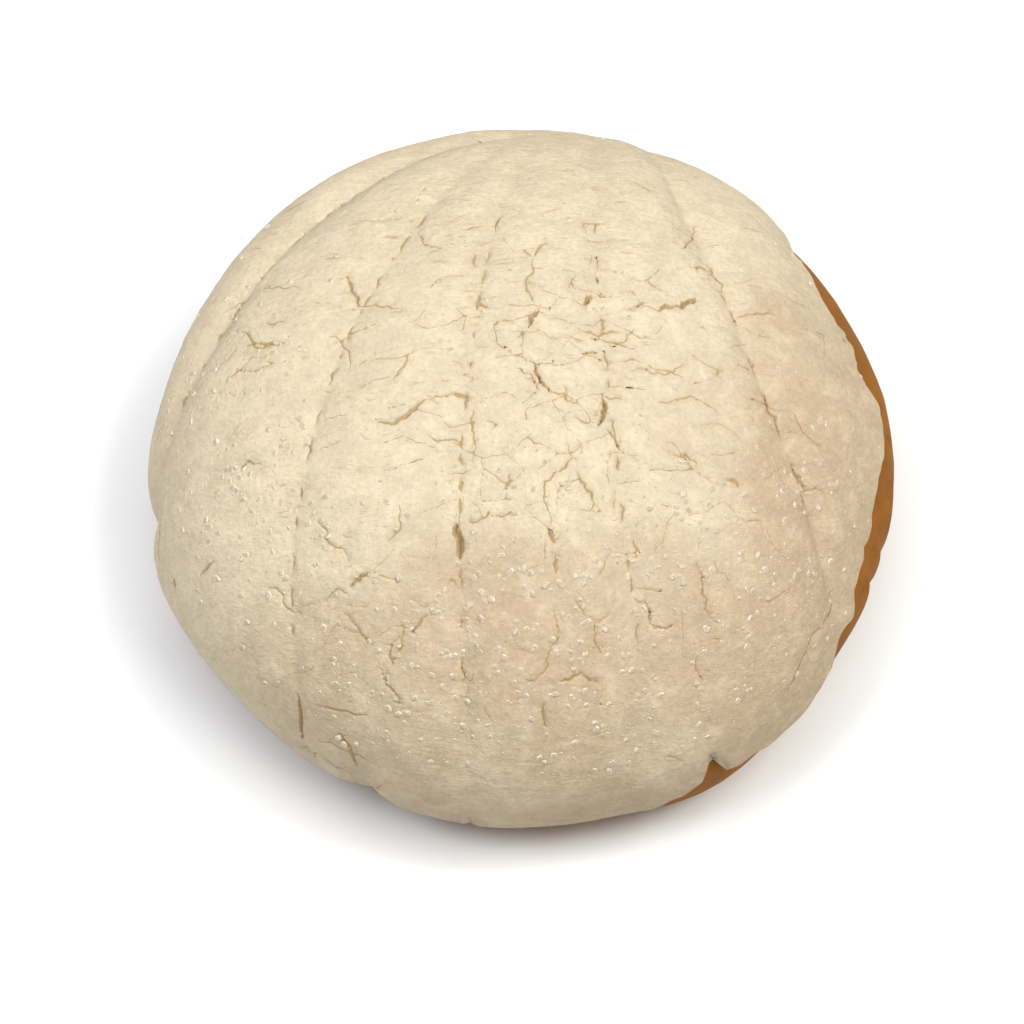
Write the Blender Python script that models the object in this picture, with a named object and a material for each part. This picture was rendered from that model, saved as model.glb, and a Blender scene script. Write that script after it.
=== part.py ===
"""Concha: a round sweet bread bun under a scored cap of sugar paste.

Two solids, in metres, +Z up, standing on z = 0 with the origin under the middle of the whole box:
  bun          the bread: a full dome over a rounded flank and a flat baked base
  sugar_paste  the topping: one closed cap that follows the dome, scored in lines that fan out
               from a hub near its back edge, and that stops higher on the right, where bread shows
"""
import math

import bmesh
import bpy
from mathutils import Vector, noise

# The bread, in metres
BUN_RADIUS = 0.0589
WAIST_HEIGHT = 0.0170
DOME_RISE = 0.0305
DOME_FULLNESS = 0.97        # exponent of the dome's arc: 1 is an ellipse, less is fuller
BASE_SHARE = 0.87           # flat base radius as a share of the waist radius
FLANK_SPAN = math.radians(60)
LUMP_SHARE = 0.012          # unevenness of the dome, as a share of its size
LUMP_PITCH = 2.1            # lumps across the ball that the dome is shaped from
LUMP_START = 0.5            # sine of the latitude from which the lumps are at their full size

# Where the waist swells or sinks: azimuth and width in degrees, height in metres
WAIST_SWELLS = (
    (2, 34, 0.0024),
    (32, 14, 0.0002),
    (-13.5, 2.2, -0.0008),
    (-18.8, 2.2, -0.0009),
    (-28, 5, -0.00045),
    (-32.5, 2.5, -0.0004),
    (-40, 16, 0.0018),
    (-48, 4, -0.0003),
    (-55, 9, 0.00055),
    (-62, 11, 0.0024),
    (-90, 16, 0.0011),
    (-90, 50, -0.0009),
    (125, 38, -0.0044),
    (160, 18, -0.0033),
    (171, 5, -0.0005),
    (178, 14, -0.0015),
    (192, 5, -0.0011),
    (222, 22, -0.0016),
    (247, 3.5, -0.0012),
)
SWELL_REACH = 0.75          # sine of the latitude at which the swells have faded out

# The paste, in metres
FIT_GAP = 0.0003
PASTE_THICKNESS = 0.0023
RIM_THICKNESS = 0.0017
RIM_TAPER = 0.25            # share of the way from rim to crown over which the paste thins
SCORE_TAPER = 0.12          # the same for the scored lines, which run out at the rim
PUFF_HEIGHT = 0.0006        # how far the paste swells between the scored lines
PUFF_REACH = 0.0060
SCORE_DEPTH = 0.0009
SCORE_HALF_WIDTH = 0.0019

# How far down the dome the paste reaches: azimuth and latitude of its rim, in degrees
RIM_LINE = (
    (-180, -9), (-130, -10), (-80, -8), (-70, -7), (-66, 0.3), (-61, 5.2), (-54, 3.3), (-50, -0.2),
    (-46, -0.5), (-38, 6), (-32, 11.5), (-29, 11), (-25.5, 15.2), (-22.5, 16), (-18, 16.8), (-14, 18.6),
    (-8, 19.6), (-3, 18.4), (1, 18.1), (5, 19), (8.5, 22.8), (12, 24.8), (14.5, 23.2), (17, 22.2),
    (20, 25.4), (24, 26.2), (34, 24), (50, 3), (66, -8), (120, -9),
)

# Scored lines, seen from above: hub, two handles and end of a curve for each, in metres
SCORED_LINES = (
    ((0.006, 0.054), (-0.019, 0.050), (-0.049, 0.021), (-0.0555, -0.012)),
    ((0.005, 0.054), (-0.014, 0.037), (-0.042, -0.010), (-0.0305, -0.050)),
    ((0.006, 0.054), (-0.007, 0.030), (-0.011, -0.020), (-0.006, -0.061)),
    ((0.013, 0.055), (0.011, 0.025), (0.014, -0.005), (0.0195, -0.052)),
    ((0.020, 0.055), (0.027, 0.030), (0.035, 0.008), (0.048, -0.028)),
)
LINE_STEPS = 36

# Mesh fineness
BUN_SEGMENTS = 60
BUN_RINGS = 24
PASTE_SEGMENTS = 72
PASTE_RINGS = 36
SCORE_FINE_REACH = 0.0030   # edges nearer than this to a scored line are halved
SCORE_COARSE_EDGE = 0.03    # unless they are shorter than this on the ball
RIM_CROWDING = 1.6          # above 1, the rings lie closer together near the rim
NORMAL_STEP = 0.002         # radians
STEEPEST = math.radians(89.5)   # latitude beyond which the crown's normal is taken as there

# Colours, linear red, green, blue
CRUST_COLOUR = (0.34, 0.155, 0.042)
PASTE_COLOUR = (0.84, 0.69, 0.46)


def bell(distance, width):
    """1 at no distance, falling smoothly to 0 within about twice the width."""
    return math.exp(-(distance / width) ** 2)


def smooth(share):
    """Ease from 0 to 1 as the share goes from 0 to 1."""
    share = min(max(share, 0.0), 1.0)
    return share * share * (3.0 - 2.0 * share)


def bun_radius(azimuth, rise):
    """Radius of the bread's outline, uneven near the waist and plain where the sine of latitude is high."""
    swell = 0.0
    for centre, width, height in WAIST_SWELLS:
        apart = (math.degrees(azimuth) - centre + 180.0) % 360.0 - 180.0
        swell += height * bell(apart, width)
    return BUN_RADIUS + swell * (1.0 - smooth(rise / SWELL_REACH))


def bread_point(azimuth, latitude):
    """Point on the bread: latitude 0 is the waist, 90 degrees the crown, -90 the base's middle."""
    waist = bun_radius(azimuth, max(math.sin(latitude), 0.0))
    base = BASE_SHARE * waist
    if latitude <= -FLANK_SPAN:
        radius = base * (math.pi / 2 + latitude) / (math.pi / 2 - FLANK_SPAN)
        return Vector((radius * math.cos(azimuth), radius * math.sin(azimuth), 0.0))
    if latitude < 0.0:
        turn = -latitude / FLANK_SPAN * math.pi / 2
        radius = base + (waist - base) * math.cos(turn)
        height = WAIST_HEIGHT * (1.0 - math.sin(turn))
        return Vector((radius * math.cos(azimuth), radius * math.sin(azimuth), height))
    across = math.cos(latitude)
    up = math.sin(latitude)
    direction = Vector((across * math.cos(azimuth), across * math.sin(azimuth), up))
    lump = 1.0 + LUMP_SHARE * smooth(up / LUMP_START) * noise.noise(direction * LUMP_PITCH)
    radius = waist * lump * max(across, 0.0) ** DOME_FULLNESS
    height = WAIST_HEIGHT + DOME_RISE * lump * max(up, 0.0) ** DOME_FULLNESS
    return Vector((radius * math.cos(azimuth), radius * math.sin(azimuth), height))


def bread_normal(azimuth, latitude):
    """Outward direction of the bread's surface."""
    latitude = min(latitude, STEEPEST)
    along = bread_point(azimuth + NORMAL_STEP, latitude) - bread_point(azimuth - NORMAL_STEP, latitude)
    upward = bread_point(azimuth, latitude + NORMAL_STEP) - bread_point(azimuth, latitude - NORMAL_STEP)
    return along.cross(upward).normalized()


def rim_latitude(azimuth):
    """Latitude at which the paste ends, eased from one point of the rim line to the next."""
    turn = (math.degrees(azimuth) + 180.0) % 360.0 - 180.0
    points = RIM_LINE + ((RIM_LINE[0][0] + 360, RIM_LINE[0][1]),)
    for (start, low), (end, high) in zip(points, points[1:]):
        if start <= turn <= end:
            return math.radians(low + (high - low) * smooth((turn - start) / (end - start)))
    return math.radians(points[0][1])


def scored_points():
    """Points along each scored line, seen from above."""
    lines = []
    for hub, first, second, end in SCORED_LINES:
        line = []
        for step in range(LINE_STEPS + 1):
            t = step / LINE_STEPS
            weights = ((1 - t) ** 3, 3 * t * (1 - t) ** 2, 3 * t * t * (1 - t), t ** 3)
            corners = (hub, first, second, end)
            x = sum(weight * corner[0] for weight, corner in zip(weights, corners))
            y = sum(weight * corner[1] for weight, corner in zip(weights, corners))
            line.append(Vector((x, y)))
        lines.append(line)
    return lines


def distance_to_lines(place, lines):
    """Distance, seen from above, from a place to the nearest scored line."""
    nearest = 1.0
    for line in lines:
        for start, end in zip(line, line[1:]):
            run = end - start
            share = min(max((place - start).dot(run) / run.length_squared, 0.0), 1.0)
            nearest = min(nearest, (place - start - run * share).length)
    return nearest


def ball_angles(direction):
    """Azimuth of a point of the ball, and its tilt from the ball's top."""
    azimuth = math.atan2(direction.y, direction.x)
    tilt = math.atan2(math.hypot(direction.x, direction.y), direction.z)
    return azimuth, tilt


def paste_place(direction):
    """Where a point of the ball lands on the bread, as azimuth, latitude and share from crown to rim.

    The ball's upper half becomes the cap's outside and its lower half the inside, so that
    its equator becomes the cap's rim.
    """
    azimuth, tilt = ball_angles(direction)
    fold = min(tilt, math.pi - tilt) / (math.pi / 2)
    share = 1.0 - (1.0 - fold) ** RIM_CROWDING
    latitude = math.pi / 2 - (math.pi / 2 - rim_latitude(azimuth)) * share
    return azimuth, latitude, share


def paste_point(direction, lines):
    """Point on the cap's surface for a point of the ball."""
    azimuth, latitude, share = paste_place(direction)
    foot = bread_point(azimuth, latitude)
    normal = bread_normal(azimuth, latitude)
    thick = RIM_THICKNESS + (PASTE_THICKNESS - RIM_THICKNESS) * smooth((1.0 - share) / RIM_TAPER)
    girth = (math.pi / 2 - rim_latitude(azimuth)) * BUN_RADIUS
    nose = min((1.0 - share) * girth / (thick / 2), 1.0)
    bulge = math.sqrt(1.0 - (1.0 - nose) ** 2)
    if direction.z < 0.0:
        return foot + normal * (FIT_GAP + thick / 2 * (1.0 - bulge))
    place = Vector((foot.x, foot.y))
    distance = distance_to_lines(place, lines)
    puff = PUFF_HEIGHT * (1.0 - bell(distance, PUFF_REACH)) * smooth((1.0 - share) / RIM_TAPER)
    score = SCORE_DEPTH * bell(distance, SCORE_HALF_WIDTH) * smooth((1.0 - share) / SCORE_TAPER)
    return foot + normal * (FIT_GAP + thick / 2 * (1.0 + bulge) + puff - score)


def refine_scores(mesh, lines):
    """Halve the ball's edges that land near a scored line, so that the score has a shape."""
    near = []
    for edge in mesh.edges:
        middle = (edge.verts[0].co + edge.verts[1].co) / 2
        if middle.z <= 0.0 or edge.calc_length() < SCORE_COARSE_EDGE:
            continue
        azimuth, latitude, share = paste_place(middle.normalized())
        foot = bread_point(azimuth, latitude)
        if distance_to_lines(Vector((foot.x, foot.y)), lines) < SCORE_FINE_REACH:
            near.append(edge)
    bmesh.ops.subdivide_edges(mesh, edges=near, cuts=1)


def plain_material(name, colour, roughness):
    """A matt, non-metallic material of one colour."""
    material = bpy.data.materials.new(name)
    material.use_nodes = True
    shader = material.node_tree.nodes["Principled BSDF"]
    shader.inputs["Base Color"].default_value = (*colour, 1.0)
    shader.inputs["Roughness"].default_value = roughness
    shader.inputs["Metallic"].default_value = 0.0
    material.diffuse_color = (*colour, 1.0)
    return material


def finish_object(name, mesh, material):
    """Turn a bmesh into a named, smooth-shaded object with its material."""
    bmesh.ops.triangulate(mesh, faces=mesh.faces)
    bmesh.ops.recalc_face_normals(mesh, faces=mesh.faces)
    data = bpy.data.meshes.new(name)
    mesh.to_mesh(data)
    mesh.free()
    data.materials.append(material)
    data.shade_smooth()
    item = bpy.data.objects.new(name, data)
    bpy.context.scene.collection.objects.link(item)
    return item


def make_bun():
    """The bread, shaped from a ball."""
    mesh = bmesh.new()
    bmesh.ops.create_uvsphere(mesh, u_segments=BUN_SEGMENTS, v_segments=BUN_RINGS, radius=1.0)
    for vert in mesh.verts:
        azimuth, tilt = ball_angles(vert.co)
        vert.co = bread_point(azimuth, math.pi / 2 - tilt)
    return finish_object("bun", mesh, plain_material("bread_crust", CRUST_COLOUR, 0.6))


def make_sugar_paste():
    """The topping, shaped from a ball that is folded into a thick cap over the bread."""
    lines = scored_points()
    mesh = bmesh.new()
    bmesh.ops.create_uvsphere(mesh, u_segments=PASTE_SEGMENTS, v_segments=PASTE_RINGS, radius=1.0)
    refine_scores(mesh, lines)
    for vert in mesh.verts:
        vert.co = paste_point(vert.co.normalized(), lines)
    return finish_object("sugar_paste", mesh, plain_material("sugar_paste", PASTE_COLOUR, 0.8))


def centre_on_origin(items):
    """Move the meshes so that the origin lies under the middle of their common box."""
    corners = [vert.co for item in items for vert in item.data.vertices]
    middle_x = (min(c.x for c in corners) + max(c.x for c in corners)) / 2
    middle_y = (min(c.y for c in corners) + max(c.y for c in corners)) / 2
    for item in items:
        for vert in item.data.vertices:
            vert.co.x -= middle_x
            vert.co.y -= middle_y


def main():
    for item in list(bpy.data.objects):
        bpy.data.objects.remove(item, do_unlink=True)
    centre_on_origin([make_bun(), make_sugar_paste()])


main()
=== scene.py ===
"""Looks of a concha: the baked bread, its scored and cracked cap of sugar paste, and the sugar on it.

Lengths are in metres, +Z is up, and the crown of the bun stands over the origin. A place on the
bun is given as an azimuth (0 along +X, counted towards +Y) and a latitude (0 at the waist,
90 degrees at the crown, below 0 on the flank), or as a place seen from above.
"""
import math
import random
from collections import namedtuple

import bmesh
import bpy
import numpy as np
from bpy.props import FloatProperty, FloatVectorProperty, IntProperty, PointerProperty
from mathutils import Matrix, Vector, kdtree, noise
from mathutils.bvhtree import BVHTree


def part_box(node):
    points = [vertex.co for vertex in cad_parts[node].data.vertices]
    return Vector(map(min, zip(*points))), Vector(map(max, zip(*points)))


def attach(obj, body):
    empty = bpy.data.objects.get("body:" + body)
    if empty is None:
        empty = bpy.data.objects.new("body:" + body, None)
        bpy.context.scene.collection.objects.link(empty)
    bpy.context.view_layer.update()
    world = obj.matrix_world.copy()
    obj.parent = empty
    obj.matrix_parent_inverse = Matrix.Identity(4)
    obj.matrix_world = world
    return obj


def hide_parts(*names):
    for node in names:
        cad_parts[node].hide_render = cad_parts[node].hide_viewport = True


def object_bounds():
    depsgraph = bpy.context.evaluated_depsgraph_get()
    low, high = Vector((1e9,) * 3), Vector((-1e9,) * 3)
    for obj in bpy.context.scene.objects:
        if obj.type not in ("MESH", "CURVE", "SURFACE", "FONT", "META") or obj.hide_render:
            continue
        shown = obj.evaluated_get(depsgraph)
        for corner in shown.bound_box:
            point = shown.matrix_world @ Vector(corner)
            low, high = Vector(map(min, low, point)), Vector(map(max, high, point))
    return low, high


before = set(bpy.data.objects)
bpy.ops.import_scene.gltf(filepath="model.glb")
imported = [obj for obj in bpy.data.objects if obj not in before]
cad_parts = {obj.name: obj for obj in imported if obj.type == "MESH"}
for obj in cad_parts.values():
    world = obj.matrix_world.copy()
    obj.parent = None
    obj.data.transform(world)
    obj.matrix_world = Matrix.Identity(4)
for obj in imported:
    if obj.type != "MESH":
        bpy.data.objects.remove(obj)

bl_info = {
    "name": "Concha",
    "version": (1, 0, 0),
    "blender": (4, 5, 0),
    "location": "3D Viewport > Sidebar > Concha",
    "description": "Models a concha: baked bread, cracked sugar paste and sugar crystals",
    "category": "Add Mesh",
}

MM = 0.001
BOX_AT_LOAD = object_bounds()
BUN_LOW, BUN_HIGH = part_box("bun")

# The bread's shape, as the frame has it
BUN_RADIUS = 58.9 * MM
WAIST_HEIGHT = 17.0 * MM
DOME_RISE = 30.5 * MM
DOME_FULLNESS = 0.97
BASE_SHARE = 0.87
FLANK_SPAN = math.radians(60)
LUMP_SHARE = 0.012
LUMP_PITCH = 2.1
LUMP_START = 0.5
WAIST_SWELLS = (
    (2, 34, 2.4 * MM), (32, 14, 0.2 * MM), (-13.5, 2.2, -0.8 * MM), (-18.8, 2.2, -0.9 * MM),
    (-28, 5, -0.45 * MM), (-32.5, 2.5, -0.4 * MM), (-40, 16, 1.8 * MM), (-48, 4, -0.3 * MM),
    (-55, 9, 0.55 * MM), (-62, 11, 2.4 * MM), (-90, 16, 1.1 * MM), (-90, 50, -0.9 * MM),
    (125, 38, -4.4 * MM), (160, 18, -3.3 * MM), (171, 5, -0.5 * MM), (178, 14, -1.5 * MM),
    (192, 5, -1.1 * MM), (222, 22, -1.6 * MM), (247, 3.5, -1.2 * MM),
)
SWELL_REACH = 0.75
FRAME_SEGMENTS = 60         # sides of the frame's bun, whose box places the whole shape

# Where the upper and the lower half of a ball go on its map for baking: middle and half size
BREAD_DISC = ((0.42, 0.42), 0.41)
PASTE_DISC = ((0.41, 0.41), 0.40)
LOWER_DISC = ((0.9, 0.9), 0.09)

# The paste's shape
PASTE_THICKNESS = 2.6 * MM
RIM_THICKNESS = 1.6 * MM
RIM_TAPER = 0.25
RIM_CROWDING = 0.06
RIM_RAGGED_FROM = 0.86      # share of the way from crown to rim at which the edge starts to be ragged
SCORE_TAPER = 0.10
SCORE_START = 0.12          # share of a scored line over which it deepens from nothing
SCORE_WIDTH = 1.9 * MM
SCORE_SHARP_WIDTH = 0.55 * MM
SCORE_SHARPNESS = 0.25
ROLL_DISTANCE = 4.2 * MM
ROLL_WIDTH = 3.0 * MM
CRACK_TAPER = 0.06
PUFF_REACH = 6.0 * MM       # how far beside a scored line the paste is not yet puffed up
PULL_REACH = 0.14 * MM      # points this near the middle of a crack are moved onto it
PULL_SHARE = 0.97
WALL_HALF = 0.12 * MM       # least half width over which a crack's walls fall
WALL_FOOT = 0.35            # share of it that is the crack's flat bottom
LIP_HEIGHT = 0.05 * MM      # of the paste pushed up beside a crack
LIP_DISTANCE = 0.6 * MM
LIP_WIDTH = 0.4 * MM
LIP_FROM = 0.4 * MM         # depth of the cracks that have a lip
PASTE_CLEARANCE = 0.05 * MM
CORE_HALF = 0.05 * MM
NO_CORE = -20.0             # mark of the points that no crack colours
RIM_LINE = (
    (-180, -9), (-130, -10), (-80, -8), (-70, -7), (-66, 0.3), (-61, 5.2), (-54, 3.3), (-50, -0.2),
    (-46, -0.5), (-38, 6), (-32, 11.5), (-29, 11), (-25.5, 15.2), (-22.5, 16), (-18, 16.8), (-14, 18.6),
    (-8, 19.6), (-3, 18.4), (1, 18.1), (5, 19), (8.5, 22.8), (12, 24.8), (14.5, 23.2), (17, 22.2),
    (20, 25.4), (24, 26.2), (34, 24), (50, 3), (66, -8), (120, -9),
)
# Nicks in the rim, and one tongue: azimuth, half width and depth in degrees
RIM_NICKS = (
    (-60.5, 1.9, 7.0), (-137.5, 1.2, 5.0), (-112.0, 1.1, 4.0), (-96.5, 0.9, 3.5),
    (16.9, 1.6, 2.4), (12.2, 1.6, -1.3),
)
INLAND_SHARE = 0.985        # share of the way from crown to rim beyond which nothing is cracked

# Scored lines seen from above, in millimetres: hub, two handles and end; how deep they are, how much
# of them is cut open and from how far along, and how high the roll beside them is
ScoredLine = namedtuple("ScoredLine", "hub first second end depth opened whole roll")
SCORED_LINES = (
    ScoredLine((6, 54), (-19, 50), (-49, 21), (-55.5, -12), 0.95, 0.40, 20, 0.55),
    ScoredLine((5, 54), (-14, 37), (-42, -10), (-30.5, -50), 0.40, 0.35, 30, 0.0),
    ScoredLine((6, 54), (-7, 30), (-11, -20), (-6, -61), 0.45, 0.50, 26, 0.0),
    ScoredLine((13, 55), (11, 25), (14, -5), (19.5, -52), 0.36, 0.35, 26, 0.0),
    ScoredLine((20, 55), (27, 30), (35, 8), (48, -28), 0.75, 0.25, 34, 0.15),
)
LINE_STEPS = 48

# The largest tears in the paste, seen from above: x and y of their two ends, then their
# width and depth, in millimetres
TEARS = (
    # left and upper left
    (-25.5, 18.5, -24, 13.5, 0.59, 1.0), (-24, 13.5, -17, 11.5, 0.28, 0.5),
    (-15, 27, -11.5, 23, 0.30, 0.5), (-6, 22, -6, 19.5, 0.46, 0.9), (-15, 4, -18, -1, 0.25, 0.4),
    (-41, 9, -35, 8, 0.38, 0.6), (-38, 12.5, -35, 12, 0.25, 0.4), (-46.5, -25, -44.5, -24, 0.42, 0.7),
    (-41, -11.5, -38, -11.5, 0.34, 0.6), (-20.5, -7.5, -12.5, -4.3, 0.52, 1.2),
    (-12.5, -4.3, -9.5, -3.5, 0.25, 0.4), (-9.5, -3.5, -7, -4.3, 0.59, 1.2),
    (-13, -10, -7.5, -12.5, 0.28, 0.5),
    # middle
    (1, 22.5, 3, 21, 0.35, 0.6), (3, 21, 4.5, 23.5, 0.35, 0.6), (3, 20.5, 2.5, 12.5, 0.32, 0.6),
    (3.5, 11, 2, 7.8, 0.71, 1.5), (1.2, 7.2, 0.4, 6, 0.46, 0.9), (-5.5, 12.8, -4, 11.6, 0.46, 0.9),
    (-3.3, 8.5, -0.7, 3.4, 0.20, 0.3), (0.2, 0.5, 3.2, -3, 0.22, 0.35), (-6, -6, -6, -13, 0.32, 0.6),
    (3, 1.3, 5.2, -3.4, 0.52, 1.2), (5.2, -3.4, 8.7, -5.3, 0.32, 0.6),
    (13.3, -4, 12.3, -8.2, 0.88, 1.6), (9, -7.5, 12, -8, 0.30, 0.5), (13, -3.4, 16.2, -4, 0.28, 0.5),
    (13.8, -9, 16.3, -12.4, 0.35, 0.8), (9.2, -16.3, 11.4, -20.4, 0.42, 0.9),
    # upper right
    (10.4, 12, 12.2, 14.1, 0.84, 1.7), (17, 11.8, 20, 13.2, 0.42, 0.8),
    (21.8, 11.7, 24, 12.6, 0.71, 1.4), (24, 12.6, 27.8, 14.7, 0.80, 1.6),
    (27, 21.2, 30, 21.5, 0.50, 0.9), (30, 21.5, 32, 17.5, 0.30, 0.5), (10.3, 7.6, 12.8, 6.6, 0.34, 0.7),
    (12.8, 6.6, 15.8, 7.6, 0.42, 0.8), (10, 3.5, 12.6, 4, 0.34, 0.7), (14.5, 5, 18, 8, 0.22, 0.35),
    (17.5, 1, 25.5, 2.6, 0.22, 0.35), (28, 31, 25.5, 24.5, 0.24, 0.4),
    # right
    (23, -12.4, 27.2, -13.8, 0.35, 0.8), (31.2, -15.4, 33.2, -16.2, 0.63, 1.1),
    (37.8, 0.3, 39.7, -5, 0.63, 1.2), (42, -10.6, 43.9, -14.2, 0.67, 1.2),
    (43.9, -14.2, 46.6, -13.8, 0.30, 0.5), (43, -4.4, 46.3, -6.6, 0.26, 0.4),
    (26.6, -28.2, 29.3, -35.6, 0.30, 0.7), (26.4, -41, 27.6, -43.4, 0.30, 0.5),
    (17.6, -25.6, 17.8, -28.4, 0.42, 0.8), (19.2, -34, 19.8, -37, 0.38, 0.8),
    (19.8, -37, 23, -36.9, 0.35, 0.6),
    # lower middle and lower left
    (-8.3, -23.5, -8.1, -28.8, 1.09, 1.9), (-7, -23.6, -0.5, -22.2, 0.34, 0.6),
    (8, -12, 5, -24.4, 0.26, 0.5), (5, -24.6, 5.9, -26.8, 0.67, 1.3), (5.9, -28.6, 6, -31.2, 0.50, 1.0),
    (-0.7, -16.4, -1.5, -19, 0.34, 0.6), (-24.4, -31.8, -21.5, -30.1, 0.63, 1.2),
    (-28.2, -33.3, -24.6, -32.6, 0.28, 0.5), (-18.7, -26, -16.9, -20.7, 0.26, 0.4),
    (-12.8, -36.6, -14.8, -39, 0.46, 0.9), (-16.9, -39, -17.9, -42.2, 0.30, 0.6),
    (-19.3, -43, -16.6, -47.2, 0.35, 0.7), (-31.9, -43.6, -31.5, -47.4, 0.67, 1.3),
    (-25.6, -48.6, -23.3, -51.2, 0.76, 0.7), (11.6, -38, 12.6, -41.6, 0.30, 0.7),
    (6.4, -45.2, 9.6, -44, 0.32, 0.7), (9.6, -44, 12.2, -45.2, 0.37, 0.8),
    (4.2, -48, 4.4, -50.5, 0.50, 1.0), (5.7, -36.4, 6.1, -40.4, 0.26, 0.5),
    (6.1, -40.4, 2, -45.2, 0.26, 0.5), (-28.5, -45.5, -21.4, -47.5, 0.35, 0.6),
    (-36.5, -29.8, -31.9, -34, 0.22, 0.4), (-29.2, -22, -24.3, -28.3, 0.25, 0.4),
    (-17.8, -42.6, -16.4, -37.5, 0.30, 0.5), (-25.2, -35.2, -20.7, -39.8, 0.25, 0.4),
    # creases near the rim
    (-32.2, -47.4, -28.5, -49.7, 0.26, 0.4), (-28.5, -49.7, -24.4, -51.6, 0.30, 0.4),
    (-24.4, -51.6, -18.7, -54.3, 0.26, 0.4), (-28.9, -48.4, -21, -51.5, 0.22, 0.3),
    (48.6, -28.6, 44.1, -34.3, 0.24, 0.5), (44.1, -34.3, 40.3, -41.4, 0.24, 0.4),
    (-53.8, -12, -53.3, -19.4, 0.28, 0.6), (-50.9, -23, -50.5, -24.4, 0.84, 0.7),
    # small horizontal ones at the upper left
    (-38.8, 20.3, -33.2, 17.7, 0.20, 0.35), (-42.5, 12.4, -35.3, 7.8, 0.30, 0.5),
    (-42.2, 4.9, -36.8, 4.5, 0.25, 0.4), (-25.1, 1.9, -28.3, 8.3, 0.25, 0.4),
)
TEAR_DEPTH_SHARE = 0.6      # share of its depth above that a tear gets
TEAR_ROUGHNESS = 0.22       # how far a tear's path strays to the sides, as a share of its steps
STEEP_SMOOTHING = 0.16      # how much less it strays where the dome is steep
PATH_STEP = 0.45 * MM

# Slits along the scored lines: length, gap to the next one, half width, how much wider some are, how
# far they stray to the sides, depth, steps of their paths, and the uncut end of a line, in millimetres
SLIT_RUN = (1.0, 3.4)
SLIT_GAP = (1.0, 6.0)
SLIT_HALF = (0.10, 0.20)
SLIT_WIDENING = 0.16
SLIT_STRAY = 0.22
SLIT_DEPTH = 0.42
SLIT_STEP = 0.5
UNCUT_END = 14.0

# Plates whose borders are hairline cracks: spacing in millimetres and stretch along the axes, then how
# much of the borders is open, and their widest half width and their depth in millimetres
PLATE_SPACING = 5.2
PLATE_STRETCH = (0.72, 1.0, 1.0)
PLATE_COUNT = int((60.0 / PLATE_SPACING) ** 2 * 3.6)
PLATE_REACH = 58.0 * MM
HAIRLINES_OPENED = 0.62
HAIRLINE_HALF = 0.12
HAIRLINE_DEPTH = 0.22
WAVERS = ((0.75, 260.0), (0.28, 900.0))     # how their borders wander: millimetres, and lumps in a metre
GOLDEN_TURN = math.pi * (3.0 - math.sqrt(5.0))

FAR = 1.0                   # gap of the points that no crack is near
CRACK_REACH = 1.6 * MM      # how far from its path a crack is looked for
LEAST_HALF = 0.01 * MM
CLOSED_HALF = 0.018 * MM    # half width below which a hairline crack is closed
STEEP_FROM = 44.0           # millimetres from the middle at which the dome starts to be steep
STEEP_OVER = 10.0
NORMAL_STEP = 0.002
STEEPEST = math.radians(89.5)

# Layers of noise: height, lumps in a unit of length, start, and stretch along the axes
PLAIN = (1.0, 1.0, 1.0)
RIM_WAVES = ((0.9, 9.0, 3.7, PLAIN), (0.5, 30.0, 8.1, PLAIN))
CRUST_WRINKLES = ((1.0, 150.0, 5.0, (1.0, 1.0, 0.45)), (0.5, 420.0, 9.0, PLAIN))
CRUST_BULGES = ((0.45 * MM, 60.0, 1.3, PLAIN),)
PASTE_UNEVENNESS = (
    (0.30 * MM, 55.0, 2.0, PLAIN), (0.15 * MM, 140.0, 4.0, PLAIN),
    (0.10 * MM, 420.0, 6.0, (0.55, 1.0, 1.0)), (0.05 * MM, 1000.0, 8.0, PLAIN),
)


# ---------------------------------------------------------------- shape of the bun

def smooth(share):
    """Ease from 0 to 1 as the share goes from 0 to 1."""
    share = np.clip(share, 0.0, 1.0)
    return share * share * (3.0 - 2.0 * share)


def bell(distance, width):
    """1 at no distance, falling smoothly to 0 within about twice the width."""
    return np.exp(-((distance / width) ** 2))


def turn_apart(azimuth, centre):
    """Degrees from a centre, which is in degrees, to each azimuth, which is in radians."""
    return (np.degrees(azimuth) - centre + 180.0) % 360.0 - 180.0


def noise_at(places, pitch, seed=0.0):
    """Smooth noise in -1 to 1 at each place, with about one lump per 1 / pitch metres."""
    shifted = places * pitch + seed
    return np.array([noise.noise(place) for place in shifted.tolist()])


def layered_noise(places, layers):
    """The sum of some layers of noise at each place."""
    return sum(
        height * noise_at(places * np.array(stretch), pitch, seed) for height, pitch, seed, stretch in layers
    )


def bun_radius(azimuth, rise):
    """Radius of the bread's outline, uneven near the waist and plain high on the dome."""
    swell = np.zeros_like(azimuth)
    for centre, width, height in WAIST_SWELLS:
        swell += height * bell(turn_apart(azimuth, centre), width)
    return BUN_RADIUS + swell * (1.0 - smooth(rise / SWELL_REACH))


def plan_shift():
    """How far the frame's bun stands off this shape's own origin, seen from above."""
    azimuth = np.radians(np.arange(FRAME_SEGMENTS) * 360.0 / FRAME_SEGMENTS)
    radius = bun_radius(azimuth, np.zeros_like(azimuth))
    x, y = radius * np.cos(azimuth), radius * np.sin(azimuth)
    return np.array([
        (BUN_LOW[0] + BUN_HIGH[0] - x.min() - x.max()) / 2,
        (BUN_LOW[1] + BUN_HIGH[1] - y.min() - y.max()) / 2,
        0.0,
    ])


PLAN_SHIFT = plan_shift()


def plan_of(points):
    """Places of points seen from above, counted from this shape's own origin."""
    return points[:, :2] - PLAN_SHIFT[:2]


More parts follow.
